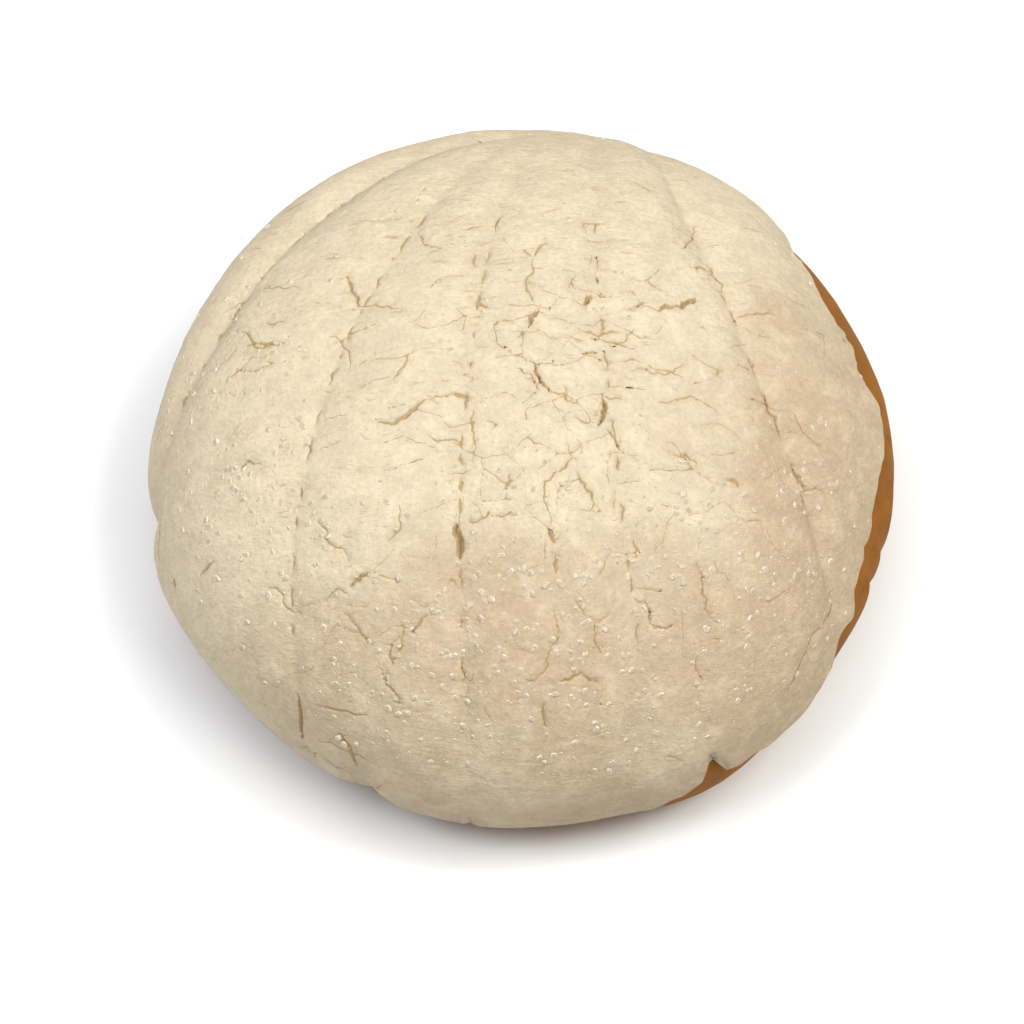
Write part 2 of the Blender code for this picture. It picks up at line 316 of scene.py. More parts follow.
def bread_points(azimuth, latitude):
    """Points on the bread's plain surface."""
    across, up = np.cos(latitude), np.sin(latitude)
    waist = bun_radius(azimuth, np.maximum(up, 0.0))
    base = BASE_SHARE * waist
    direction = np.stack([across * np.cos(azimuth), across * np.sin(azimuth), up], axis=1)
    lump = 1.0 + LUMP_SHARE * smooth(up / LUMP_START) * noise_at(direction, LUMP_PITCH)
    turn = np.clip(-latitude / FLANK_SPAN, 0.0, 1.0) * math.pi / 2
    radius = np.where(
        latitude >= 0.0,
        waist * lump * np.maximum(across, 0.0) ** DOME_FULLNESS,
        base + (waist - base) * np.cos(turn),
    )
    height = np.where(
        latitude >= 0.0,
        WAIST_HEIGHT + DOME_RISE * lump * np.maximum(up, 0.0) ** DOME_FULLNESS,
        WAIST_HEIGHT * (1.0 - np.sin(turn)),
    )
    under = latitude < -FLANK_SPAN
    radius = np.where(under, base * (math.pi / 2 + latitude) / (math.pi / 2 - FLANK_SPAN), radius)
    height = np.where(under, 0.0, height)
    return np.stack([radius * np.cos(azimuth), radius * np.sin(azimuth), height], axis=1) + PLAN_SHIFT


def bread_normals(azimuth, latitude):
    """Outward directions of the bread's plain surface."""
    latitude = np.clip(latitude, -STEEPEST, STEEPEST)
    along = bread_points(azimuth + NORMAL_STEP, latitude) - bread_points(azimuth - NORMAL_STEP, latitude)
    upward = bread_points(azimuth, latitude + NORMAL_STEP) - bread_points(azimuth, latitude - NORMAL_STEP)
    normal = np.cross(along, upward)
    return normal / np.linalg.norm(normal, axis=1, keepdims=True)


def on_dome(plan):
    """Points of the bread's dome over places seen from above, which are in metres."""
    azimuth = np.arctan2(plan[:, 1], plan[:, 0])
    reach = np.hypot(plan[:, 0], plan[:, 1])
    latitude = np.full(len(plan), math.pi / 4)
    for _ in range(4):
        radius = bun_radius(azimuth, np.sin(latitude))
        latitude = np.arccos(np.clip(reach / radius, 0.0, 1.0) ** (1.0 / DOME_FULLNESS))
    return bread_points(azimuth, latitude)


def rim_latitude(azimuth):
    """Latitude at which the paste ends, eased between the places where it is given."""
    turns = np.array([point[0] for point in RIM_LINE] + [RIM_LINE[0][0] + 360.0])
    heights = np.array([point[1] for point in RIM_LINE] + [RIM_LINE[0][1]], dtype=float)
    turn = turn_apart(azimuth, 0.0)
    step = np.clip(np.searchsorted(turns, turn, side="right") - 1, 0, len(RIM_LINE) - 1)
    share = smooth((turn - turns[step]) / (turns[step + 1] - turns[step]))
    return np.radians(heights[step] + (heights[step + 1] - heights[step]) * share)


def rim_raggedness(azimuth):
    """Degrees that the rim ends above its even line: ragged, and nicked, as a hand-pressed edge is."""
    circle = np.stack([np.cos(azimuth), np.sin(azimuth), np.zeros_like(azimuth)], axis=1)
    height = layered_noise(circle, RIM_WAVES)
    for centre, half_width, depth in RIM_NICKS:
        height += depth * np.clip(1.0 - np.abs(turn_apart(azimuth, centre)) / half_width, 0.0, 1.0)
    return np.radians(height)


# ---------------------------------------------------------------- scored lines, tears and cracks

class Crack:
    """A crack's path over the bread's dome, with its half width and depth along the way."""

    def __init__(self, plan, half, depth):
        self.path = on_dome(plan)
        self.half = half
        self.depth = depth
        self.centre = (self.path.min(axis=0) + self.path.max(axis=0)) / 2
        self.radius = float(np.linalg.norm(self.path - self.centre, axis=1).max())


def line_points(line):
    """Points along a scored line, seen from above, in metres."""
    t = np.linspace(0.0, 1.0, LINE_STEPS + 1)[:, None]
    corners = [np.array(corner) * MM for corner in (line.hub, line.first, line.second, line.end)]
    return (
        (1 - t) ** 3 * corners[0] + 3 * t * (1 - t) ** 2 * corners[1]
        + 3 * t * t * (1 - t) * corners[2] + t ** 3 * corners[3]
    )


def distance_to_path(places, path):
    """Distance from each place to a path, seen from above, how far along it the nearest point is, and
    on which side of it the place lies."""
    nearest = np.full(len(places), FAR)
    along = np.zeros(len(places))
    side = np.ones(len(places))
    for step, (start, end) in enumerate(zip(path, path[1:])):
        run = end - start
        offset = places - start
        share = np.clip(offset @ run / (run @ run), 0.0, 1.0)
        distance = np.linalg.norm(offset - share[:, None] * run, axis=1)
        closer = distance < nearest
        nearest[closer] = distance[closer]
        along[closer] = (step + share[closer]) / (len(path) - 1)
        side[closer] = np.sign(run[0] * offset[closer, 1] - run[1] * offset[closer, 0])
    return nearest, along, side


def torn_path(random_source, start, end, roughness):
    """A torn path between two places: halved again and again, each middle pushed to one side."""
    path = [start, end]
    while np.linalg.norm(path[1] - path[0]) > PATH_STEP:
        finer = []
        for first, last in zip(path, path[1:]):
            run = last - first
            push = random_source.uniform(-roughness, roughness)
            finer += [first, (first + last) / 2 + push * np.array([-run[1], run[0]])]
        path = finer + [path[-1]]
    return np.array(path)


def tapered(random_source, count, half_width):
    """Half widths along a crack: pinched ends, uneven and here and there nearly closed."""
    share = np.linspace(0.0, 1.0, count)
    lens = np.sqrt(np.clip(np.sin(math.pi * share), 0.0, 1.0))
    rough = np.array([random_source.uniform(0.55, 1.25) for _ in range(count)])
    rough = np.convolve(np.pad(rough, 1, mode="edge"), (0.25, 0.5, 0.25), mode="valid")
    return half_width * lens * rough


def steepness(plan):
    """0 over most of the dome, 1 where it falls steeply towards its rim."""
    return smooth((np.hypot(plan[:, 0], plan[:, 1]) / MM - STEEP_FROM) / STEEP_OVER)


def make_tears(random_source):
    """The large tears, each on a torn path between its ends."""
    cracks = []
    for x, y, end_x, end_y, width, depth in TEARS:
        start, end = np.array((x, y)) * MM, np.array((end_x, end_y)) * MM
        roughness = TEAR_ROUGHNESS - STEEP_SMOOTHING * float(steepness(start[None])[0])
        path = torn_path(random_source, start, end, roughness)
        widths = tapered(random_source, len(path), width * MM / 2)
        cracks.append(Crack(path, widths, depth * TEAR_DEPTH_SHARE * MM))
    return cracks


def make_slits(random_source):
    """Where the scored lines are cut open: short slits and beads along their bottoms."""
    cracks = []
    for line in SCORED_LINES:
        path = line_points(line)
        lengths = np.linalg.norm(np.diff(path, axis=0), axis=1)
        travel = np.concatenate([[0.0], np.cumsum(lengths)])
        at = line.whole * MM
        while at < travel[-1] - UNCUT_END * MM:
            run = random_source.uniform(*SLIT_RUN) * MM
            gap = random_source.uniform(*SLIT_GAP) * MM * (1.2 - line.opened)
            steps = np.linspace(at, at + run, max(int(run / (SLIT_STEP * MM)), 3))
            points = np.stack([np.interp(steps, travel, path[:, axis]) for axis in (0, 1)], axis=1)
            points += np.array([
                [random_source.uniform(-SLIT_STRAY, SLIT_STRAY) * MM for _ in (0, 1)] for _ in steps
            ])
            half = random_source.uniform(*SLIT_HALF)
            half += SLIT_WIDENING * random_source.random() ** 2 * line.opened * 2
            cracks.append(Crack(points, tapered(random_source, len(points), half * MM), SLIT_DEPTH * MM))
            at += run + gap
    return cracks


def spot(plan, centre, spread):
    """1 at a centre seen from above, fading along x and y over a spread, both in millimetres."""
    x, y = plan[:, 0] / MM, plan[:, 1] / MM
    return np.exp(-(((x - centre[0]) / spread[0]) ** 2) - (((y - centre[1]) / spread[1]) ** 2))


def crack_crowd(plan):
    """How thickly cracks lie at places seen from above: most in the middle, few near the rim."""
    return 0.10 + 0.90 * spot(plan, (3, -6), (40, 38))


def crack_upright(plan):
    """How far cracks run up and down instead of from side to side: low in front they do."""
    return spot(plan, (9, -32), (22, 20))


def waver(places):
    """A meandering shift of places, so that the borders of the plates wander."""
    shift = [
        sum(reach * np.array(noise.noise_vector(place * pitch)) for reach, pitch in WAVERS)
        for place in map(Vector, places.tolist())
    ]
    return np.array(shift) * MM


class PlateNet:
    """Plates over the dome whose borders are hairline cracks, open here and there."""

    def __init__(self, random_source):
        index = np.arange(PLATE_COUNT)
        reach = PLATE_REACH * np.sqrt((index + 0.5) / PLATE_COUNT)
        jitter = np.array([[random_source.uniform(-0.45, 0.45) for _ in (0, 1)] for _ in index])
        turn = index * GOLDEN_TURN
        plan = np.stack([reach * np.cos(turn), reach * np.sin(turn)], axis=1)
        plan += jitter * PLATE_SPACING * MM
        self.metric = np.array(PLATE_STRETCH)
        self.seeds = on_dome(plan) * self.metric
        self.tree = kdtree.KDTree(PLATE_COUNT)
        for number, seed in enumerate(self.seeds.tolist()):
            self.tree.insert(seed, number)
        self.tree.balance()
        self.offset = random_source.uniform(0.0, 100.0)

    def draw(self, first, second, turn):
        """A random number from 0 to 1 for the border between two plates."""
        low, high = np.minimum(first, second), np.maximum(first, second)
        value = np.sin(low * 12.9898 + high * 78.233 + turn + self.offset) * 43758.5453
        return value - np.floor(value)

    def measure(self, points):
        """Gap to the nearest open border, its half width, its depth, and the step to its middle."""
        moved = (points + waver(points)) * self.metric
        found = [self.tree.find_n(place, 2) for place in moved.tolist()]
        first = np.array([pair[0][1] for pair in found])
        second = np.array([pair[1][1] for pair in found])
        square = np.array([pair[1][2] ** 2 - pair[0][2] ** 2 for pair in found])
        apart = (self.seeds[first] - self.seeds[second]) * self.metric
        slope = 2.0 * np.linalg.norm(apart, axis=1)
        distance = square / slope
        across = np.hypot(apart[:, 0], apart[:, 1]) + 1e-9
        level, upright = (apart[:, 1] / across) ** 2, (apart[:, 0] / across) ** 2
        plan = plan_of(points)
        share = crack_upright(plan)
        chance = 0.35 + 1.3 * (level * (1.0 - share) + upright * share)
        chance = chance * crack_crowd(plan) * HAIRLINES_OPENED
        chance += 0.18 * noise_at(points, 130.0, self.offset)
        opening = smooth((chance - self.draw(first, second, 0.0)) / 0.20)
        width = 0.45 + 0.55 * self.draw(first, second, 7.0) ** 3
        beads = np.clip(0.75 + 1.1 * noise_at(points, 700.0, self.offset + 5.0), 0.0, 1.6)
        half = HAIRLINE_HALF * MM * width * beads * opening
        closed = half < CLOSED_HALF
        step = -apart * 2.0 * (square / slope ** 2)[:, None]
        return (
            np.where(closed, FAR, distance - half), np.maximum(half, LEAST_HALF),
            HAIRLINE_DEPTH * MM * width * opening, np.where(closed[:, None], 0.0, step),
        )


def measure_cracks(points, cracks):
    """For each point the gap to the nearest crack's edge, that crack's half width there, its depth, and
    the step that would put the point on the crack's centre line. Points out of reach keep FAR."""
    gap = np.full(len(points), FAR)
    half = np.full(len(points), LEAST_HALF)
    depth = np.zeros(len(points))
    to_centre = np.zeros_like(points)
    order = np.argsort(points[:, 0])
    sorted_x = points[order, 0]
    for crack in cracks:
        bound = crack.radius + CRACK_REACH
        first, last = np.searchsorted(sorted_x, (crack.centre[0] - bound, crack.centre[0] + bound))
        near = order[first:last]
        near = near[np.linalg.norm(points[near] - crack.centre, axis=1) < bound]
        if not len(near):
            continue
        run = np.diff(crack.path, axis=0)
        offset = points[near][:, None, :] - crack.path[None, :-1]
        share = np.clip((offset * run).sum(axis=2) / (run * run).sum(axis=1), 0.0, 1.0)
        away = offset - share[:, :, None] * run
        distance = np.sqrt((away * away).sum(axis=2))
        best = distance.argmin(axis=1)
        rows = np.arange(len(near))
        part = share[rows, best]
        width = crack.half[best] * (1.0 - part) + crack.half[best + 1] * part
        found = distance[rows, best] - width
        closer = (found < gap[near]) & (distance[rows, best] < CRACK_REACH)
        chosen = near[closer]
        gap[chosen] = found[closer]
        half[chosen] = np.maximum(width[closer], LEAST_HALF)
        depth[chosen] = crack.depth
        to_centre[chosen] = -away[rows, best][closer]
    return gap, half, depth, to_centre


def measure_openings(points, cracks, net):
    """The same as measure_cracks, for the cracks and the net of hairline cracks together."""
    ours, theirs = measure_cracks(points, cracks), net.measure(points)
    closer = theirs[0] < ours[0]
    return [
        np.where(closer[:, None] if own.ndim == 2 else closer, other, own) for own, other in zip(ours, theirs)
    ]


# ---------------------------------------------------------------- mesh helpers

def ball_angles(directions):
    """Azimuth of points of a ball, and their tilt from its top."""
    azimuth = np.arctan2(directions[:, 1], directions[:, 0])
    tilt = np.arctan2(np.hypot(directions[:, 0], directions[:, 1]), directions[:, 2])
    return azimuth, tilt


def ball_with_equator():
    """A ball of small triangles with a clean loop of edges round its equator."""
    mesh = bmesh.new()
    bmesh.ops.create_icosphere(mesh, subdivisions=5, radius=1.0)
    everything = mesh.verts[:] + mesh.edges[:] + mesh.faces[:]
    bmesh.ops.bisect_plane(mesh, geom=everything, dist=1e-5, plane_co=(0, 0, 0), plane_no=(0, 0, 1))
    bmesh.ops.triangulate(mesh, faces=mesh.faces[:])
    return mesh


def refine(mesh, wanted):
    """Halve the edges whose middles are wanted, keeping the ball round and made of triangles."""
    edges = mesh.edges[:]
    middles = np.array([(edge.verts[0].co + edge.verts[1].co).normalized()[:] for edge in edges])
    chosen = [edge for edge, choice in zip(edges, wanted(middles)) if choice]
    bmesh.ops.subdivide_edges(mesh, edges=chosen, cuts=1, use_grid_fill=True)
    for vert in mesh.verts:
        vert.co.normalize()
    bmesh.ops.triangulate(mesh, faces=mesh.faces[:])


def ball_places(mesh):
    """The ball's points as an array."""
    return np.array([vert.co[:] for vert in mesh.verts])


def shape_ball(mesh, directions, places, disc):
    """Move the ball's points to their places, unroll it on a map for baking, and turn its faces out."""
    for vert, place in zip(mesh.verts, places.tolist()):
        vert.co = place
    mesh.verts.index_update()
    disc_map(mesh, directions, *disc)
    bmesh.ops.recalc_face_normals(mesh, faces=mesh.faces[:])


def disc_map(mesh, directions, middle, half_size):
    """A flat map for baking: each half of the ball unrolled on a disc of its own."""
    layer = mesh.loops.layers.uv.new("OFBake")
    azimuth, tilt = ball_angles(directions)
    upper = tilt <= math.pi / 2 + 1e-4
    fold = np.where(upper, tilt, math.pi - tilt) / (math.pi / 2)
    for face in mesh.faces:
        top = all(upper[vert.index] for vert in face.verts)
        centre, size = (middle, half_size) if top else LOWER_DISC
        for loop in face.loops:
            index = loop.vert.index
            loop[layer].uv = (
                centre[0] + size * fold[index] * math.cos(azimuth[index]),
                centre[1] + size * fold[index] * math.sin(azimuth[index]),
            )


def finish_piece(name, mesh, material, values=None):
    """Turn a bmesh into a smooth-shaded object at the origin, with values at its points."""
    data = bpy.data.meshes.new(name)
    mesh.to_mesh(data)
    mesh.free()
    for label, numbers in (values or {}).items():
        layer = data.attributes.new(label, "FLOAT", "POINT")
        layer.data.foreach_set("value", np.asarray(numbers, dtype=np.float32))
    data.shade_smooth()
    data.materials.append(material)
    piece = bpy.data.objects.new(name, data)
    bpy.context.scene.collection.objects.link(piece)
    return piece


# ---------------------------------------------------------------- node helpers

class Nodes:
    """Short ways to add and join the nodes of one material or node group."""

    def __init__(self, tree):
        self.tree = tree

    def fill(self, node, inputs):
        """Join a node's inputs to sockets, or set them to plain values."""
        for name, value in inputs.items():
            socket = node.inputs[name]
            if isinstance(value, bpy.types.NodeSocket):
                self.tree.links.new(value, socket)
            elif socket.type == "RGBA":
                socket.default_value = (*value[:3], 1.0)
            else:
                socket.default_value = value

    def add(self, kind, inputs=None, **settings):
        """A new node, with its settings and its inputs."""
        node = self.tree.nodes.new(kind)
        for name, value in settings.items():
            setattr(node, name, value)
        self.fill(node, inputs or {})
        return node

    def group(self, name, build, inputs):
        """The outputs of a node group, which is built once and shared: build takes its nodes and the
        sockets that it is given, and returns the sockets that it gives."""
        if name not in bpy.data.node_groups:
            tree = bpy.data.node_groups.new(name, "ShaderNodeTree")
            for label in inputs:
                kind = "NodeSocketVector" if label in ("Vector", "Stretch") else "NodeSocketFloat"
                tree.interface.new_socket(label, in_out="INPUT", socket_type=kind)
            nodes = Nodes(tree)
            results = build(nodes, nodes.add("NodeGroupInput").outputs)
            for label in results:
                tree.interface.new_socket(label, in_out="OUTPUT", socket_type="NodeSocketFloat")
            nodes.fill(nodes.add("NodeGroupOutput"), results)
        return self.add("ShaderNodeGroup", inputs, node_tree=bpy.data.node_groups[name]).outputs

    def math(self, operation, first, second):
        """The result of an operation on two numbers."""
        return self.add("ShaderNodeMath", {0: first, 1: second}, operation=operation).outputs[0]

    def vector(self, operation, first, second):
        """The result of an operation on two vectors."""
        return self.add("ShaderNodeVectorMath", {0: first, 1: second}, operation=operation).outputs[0]

    def ramp(self, value, low, high, start=0.0, end=1.0):
        """A smooth step from start to end as the value goes from low to high."""
        node = self.add(
            "ShaderNodeMapRange",
            {"Value": value, "From Min": low, "From Max": high, "To Min": start, "To Max": end},
            interpolation_type="SMOOTHSTEP",
        )
        return node.outputs[0]

    def mix(self, share, first, second, blend="MIX"):
        """The first colour, with a share of the second over it."""
        inputs = {0: share, 6: first, 7: second}
        return self.add("ShaderNodeMix", inputs, data_type="RGBA", blend_type=blend).outputs[2]

    def vary(self, colour, mask, amount):
        """The colour, made darker and lighter by an amount as a noise goes down and up."""
        return self.mix(1.0, colour, self.ramp(mask, 0.33, 0.67, 1.0 - amount, 1.0 + amount), "MULTIPLY")

    def noise(self, place, scale, detail=2.0, roughness=0.5, distortion=0.0, output="Fac"):
        """Noise with lumps of about 1 / scale metres."""
        node = self.add("ShaderNodeTexNoise", {
            "Vector": place, "Scale": scale, "Detail": detail, "Roughness": roughness,
            "Distortion": distortion,
        })
        return node.outputs[output]

    def stretched_noise(self, place, stretch, scale, detail, roughness):
        """Noise drawn out along the axes whose stretch is below 1."""
        return self.noise(self.vector("MULTIPLY", place, stretch), scale, detail, roughness)

    def attribute(self, name):
        """A value that the mesh carries at its points."""
        return self.add("ShaderNodeAttribute", attribute_name=name).outputs["Fac"]

    def place(self):
        """The place of the point that is shaded, in metres."""
        return self.add("ShaderNodeTexCoord").outputs["Object"]

    def bump(self, height, distance, strength):
        """Shading as if the surface had a relief."""
        inputs = {"Height": height, "Distance": distance, "Strength": strength}
        return self.add("ShaderNodeBump", inputs).outputs[0]


def new_material(name):
    """An empty material with a Principled BSDF, and its nodes."""
    material = bpy.data.materials.new(name)
    material.use_nodes = True
    nodes = Nodes(material.node_tree)
    shader = material.node_tree.nodes["Principled BSDF"]
    return material, nodes, shader


def baked_grain(nodes, given):
    """Fine grain that both the crust and the paste show: a height and a light-dark mask."""
    fine = nodes.noise(given["Vector"], given["Scale"], 3.0, 0.6)
    broad = nodes.noise(given["Vector"], nodes.math("MULTIPLY", given["Scale"], 0.22), 3.0, 0.55, 0.4)
    height = nodes.math("ADD", nodes.math("MULTIPLY", fine, 0.4), nodes.math("MULTIPLY", broad, 0.6))
    return {"Height": height, "Mottle": broad}


def hairline_cracks(nodes, given):
    """Wandering hairline cracks between plates, seen from above: 1 in their middles, 0 away from them."""
    def wander(scale, detail, roughness, reach):
        push = nodes.noise(given["Vector"], scale, detail, roughness, output="Color")
        middle = nodes.vector("SUBTRACT", push, (0.5, 0.5, 0.5))
        return nodes.add("ShaderNodeVectorMath", {0: middle, "Scale": reach}, operation="SCALE").outputs[0]

    shift = nodes.vector("ADD", wander(210.0, 2.0, 0.5, 3.2 * MM), wander(1500.0, 4.0, 0.75, 1.3 * MM))
    stretched = nodes.vector("MULTIPLY", nodes.vector("ADD", given["Vector"], shift), given["Stretch"])
    plates = nodes.add(
        "ShaderNodeTexVoronoi", {"Vector": stretched, "Scale": given["Scale"]},
        voronoi_dimensions="2D", feature="DISTANCE_TO_EDGE",
    )
    gaps = nodes.noise(stretched, nodes.math("MULTIPLY", given["Scale"], 1.1), 3.0, 0.65)
    level = nodes.math("SUBTRACT", 0.80, nodes.math("MULTIPLY", given["Opened"], 0.29))
    opening = nodes.ramp(nodes.math("SUBTRACT", gaps, level), -0.02, 0.09)
    width = nodes.math("MULTIPLY", given["Width"], nodes.math("ADD", opening, 0.05))
    nearness = nodes.math("DIVIDE", plates.outputs["Distance"], width)
    return {"Mask": nodes.math("MULTIPLY", nodes.ramp(nearness, 1.0, 0.35), opening)}


# ---------------------------------------------------------------- materials

def crust_material(settings):
    """Baked crust: orange brown on the sides, darker and drier underneath, with faint streaks."""
    material, nodes, shader = new_material("bread_crust")
    place = nodes.place()
    grain = nodes.group("Baked grain", baked_grain, {"Vector": place, "Scale": 1400.0})
    height = nodes.add("ShaderNodeSeparateXYZ", {0: place}).outputs["Z"]
    blotches = nodes.noise(place, 90.0, 4.0, 0.6, 0.5)
    streaks = nodes.stretched_noise(place, (1.0, 1.0, 0.22), 420.0, 3.0, 0.6)
    colour = nodes.mix(nodes.ramp(blotches, 0.35, 0.70), settings.crust_colour, settings.pale_colour)
    for mask, low, high, most in (
        (streaks, 0.52, 0.72, 0.45), (height, 7.0 * MM, 0.3 * MM, 0.65), (grain["Mottle"], 0.60, 0.72, 0.35),
    ):
        colour = nodes.mix(nodes.ramp(mask, low, high, 0.0, most), colour, settings.dark_colour)
    nodes.fill(shader, {
        "Base Color": colour, "Roughness": nodes.ramp(blotches, 0.3, 0.7, 0.68, 0.82),
        "Specular IOR Level": 0.08, "Normal": nodes.bump(grain["Height"], 0.12 * MM, 0.6),
    })
    return material


def paste_material(settings):
    """Baked sugar paste: matt cream, yellower where it is baked more, darker with painted shade over its
    front, tan inside its cracks.
    """
    material, nodes, shader = new_material("sugar_paste")
    place = nodes.place()
    grain = nodes.group("Baked grain", baked_grain, {"Vector": place, "Scale": 2300.0})
    patches = nodes.noise(place, 45.0, 3.0, 0.55)
    mottle = nodes.noise(place, 260.0, 5.0, 0.65, 0.4)
    flecks = nodes.noise(place, 1300.0, 3.0, 0.65)
    # The baked values hold real baking and painted shade over the front.
    baked = nodes.math("ADD", nodes.attribute("baked"), nodes.ramp(patches, 0.35, 0.70, -0.20, 0.25))
    colour = nodes.mix(nodes.ramp(baked, 0.0, 1.0), settings.paste_colour, settings.warm_and_shade_colour)
    colour = nodes.mix(nodes.ramp(mottle, 0.50, 0.75, 0.0, 0.35), colour, settings.pale_colour)
    colour = nodes.vary(nodes.vary(colour, mottle, 0.06), flecks, 0.06)
    colour = nodes.mix(nodes.math("MULTIPLY", nodes.attribute("halo"), 0.20), colour, settings.warm_and_shade_colour)

    crowd, upright = nodes.attribute("crowd"), nodes.attribute("upright")
    across = nodes.stretched_noise(place, (0.30, 1.0, 1.0), 850.0, 3.0, 0.65)
    down = nodes.stretched_noise(place, (1.0, 0.30, 1.0), 850.0, 3.0, 0.65)
    flakes = nodes.add("ShaderNodeMix", {0: upright, 2: across, 3: down}).outputs[0]
    dashes = nodes.math("MULTIPLY", nodes.ramp(flakes, 0.40, 0.30), nodes.ramp(crowd, 0.0, 0.5, 0.15, 0.45))
    colour = nodes.mix(dashes, colour, settings.crack_colour)

    lying = nodes.math("SUBTRACT", 1.0, upright)
    masks = []
    for stretch, scale, width, share in (
        ((0.60, 1.0, 1.0), 210.0, 0.026, nodes.ramp(lying, 0.25, 0.65)),
        ((1.0, 0.58, 1.0), 210.0, 0.026, nodes.ramp(upright, 0.25, 0.65)),
        ((0.75, 1.0, 1.0), 400.0, 0.036, 0.85),
    ):
        masks.append(nodes.group("Hairline cracks", hairline_cracks, {
            "Vector": place, "Stretch": stretch, "Scale": scale, "Width": width,
            "Opened": nodes.math("MULTIPLY", crowd, share),
        })["Mask"])
    hairlines = nodes.math("MAXIMUM", nodes.math("MAXIMUM", masks[0], masks[1]), masks[2])
    colour = nodes.mix(nodes.math("MULTIPLY", hairlines, 0.55), colour, settings.crack_colour)
    core = nodes.attribute("core")
    colour = nodes.mix(nodes.ramp(core, -0.5, 0.1, 0.0, 0.85), colour, settings.crack_colour)
    colour = nodes.mix(nodes.ramp(core, 0.2, 0.9, 0.0, 0.35), colour, settings.deep_colour)

    relief = nodes.math("ADD", grain["Height"], nodes.math("MULTIPLY", mottle, 0.9))
    relief = nodes.math("ADD", relief, nodes.math("MULTIPLY", flakes, 1.1))
    nodes.fill(shader, {
        "Base Color": colour, "Roughness": nodes.ramp(grain["Mottle"], 0.3, 0.7, 0.62, 0.80),
        "Specular IOR Level": 0.30, "Normal": nodes.bump(relief, 0.30 * MM, 0.9),
    })
    return material


def crystal_material(settings):
    """Coarse sugar: opaque grains of two tints near the paste's own, with a painted highlight on their edges.
    """
    material, nodes, shader = new_material("sugar_crystal")
    tint = nodes.noise(nodes.place(), 500.0, 1.0)
    middle = nodes.mix(nodes.ramp(tint, 0.35, 0.65), settings.crystal_colour, settings.dull_colour)
    # Painted highlight: the edges get a paler colour in place of the light that clear grains catch on their
    # rims.
    colour = nodes.mix(nodes.attribute("edge"), middle, settings.edge_highlight_colour)
    nodes.fill(shader, {"Base Color": colour, "Roughness": 0.22, "Specular IOR Level": 0.35})
    return material


def floor_material(settings):
    """Plain pale floor."""
    material, nodes, shader = new_material("pale_floor")
    nodes.fill(shader, {"Base Color": settings.floor_colour, "Roughness": 0.9, "Specular IOR Level": 0.1})
    return material


# ---------------------------------------------------------------- bread

def make_bread(settings):
    """The bread, with uneven crust below the paste's rim."""
    mesh = ball_with_equator()

    def below_rim(margin):
        def wanted(middles):
            azimuth, tilt = ball_angles(middles)
            latitude = math.pi / 2 - tilt
            shown = latitude < rim_latitude(azimuth) + math.radians(margin)
            return shown & (latitude > -FLANK_SPAN * 1.1)
        return wanted

    for margin in (10.0, 3.0):
        refine(mesh, below_rim(margin))
    directions = ball_places(mesh)
    azimuth, tilt = ball_angles(directions)
    latitude = math.pi / 2 - tilt
    places = bread_points(azimuth, latitude)
    side = smooth((latitude + FLANK_SPAN) / math.radians(25))
    wrinkle = settings.wrinkle_height * layered_noise(places, CRUST_WRINKLES)
    bulge = layered_noise(places, CRUST_BULGES)
    places = places + bread_normals(azimuth, latitude) * ((wrinkle + bulge) * side)[:, None]
    places[:, 2] = np.where(latitude < -FLANK_SPAN, 0.0, np.maximum(places[:, 2], 0.0))
    shape_ball(mesh, -directions, places, BREAD_DISC)
    piece = finish_piece("baked_bread", mesh, crust_material(settings))
    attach(piece, "root")
    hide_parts("bun")


# ---------------------------------------------------------------- sugar paste

def paste_places(directions):
    """Where points of the ball land on the bread: azimuth, latitude and share from crown to rim."""
    azimuth, tilt = ball_angles(directions)
    left = 1.0 - np.minimum(tilt, math.pi - tilt) / (math.pi / 2)
    crowded = left * (left / (left + RIM_CROWDING)) ** 0.6 * (1.0 + RIM_CROWDING) ** 0.6
    share = 1.0 - np.clip(crowded, 0.0, 1.0)
    ragged = rim_raggedness(azimuth) * smooth((share - RIM_RAGGED_FROM) / (1.0 - RIM_RAGGED_FROM))
    latitude = math.pi / 2 - (math.pi / 2 - rim_latitude(azimuth)) * share + ragged
    return azimuth, latitude, share


def score_relief(plan):
    """Depth of the scored lines at places seen from above, less the height of the rolls beside them,
    and how near the nearest line is."""
    relief = np.zeros(len(plan))
    nearest = np.full(len(plan), FAR)
    for number, line in enumerate(SCORED_LINES):
        distance, along, side = distance_to_path(plan, line_points(line))
        wave = 0.85 + 0.25 * np.sin(along * 19.0 + number * 2.1)
        shown = smooth(along / SCORE_START)
        broad = line.depth * bell(distance, SCORE_WIDTH)
        sharp = SCORE_SHARPNESS * line.depth * bell(distance, SCORE_SHARP_WIDTH)
        beside = line.roll * bell(distance - ROLL_DISTANCE, ROLL_WIDTH) * (side < 0.0)
        relief += MM * shown * (wave * (broad + sharp) - beside)
        nearest = np.minimum(nearest, distance)
    return relief, nearest


def baked_and_front_shade_share(plan, share):
    """How strongly the paste is tinted warm: baked more on one side and towards its rim, and painted shade
    over its lower front.
    """
    x, y = plan[:, 0] / MM, plan[:, 1] / MM
    side = spot(plan, (47, -8), (20, 34))
    # Painted shade: the lower front, where the dome turns away from the lights, is darkened with the warm
    # colour.
    front = smooth((-y - 17.0) / 22.0) * (1.0 - 0.25 * smooth((-y - 44.0) / 12.0))
    front = front * (1.0 - 0.65 * smooth((-x - 12.0) / 28.0))
    edge = 0.15 * smooth((share - 0.80) / 0.20)
    return np.clip(side + 0.85 * front + edge, 0.0, 1.0)


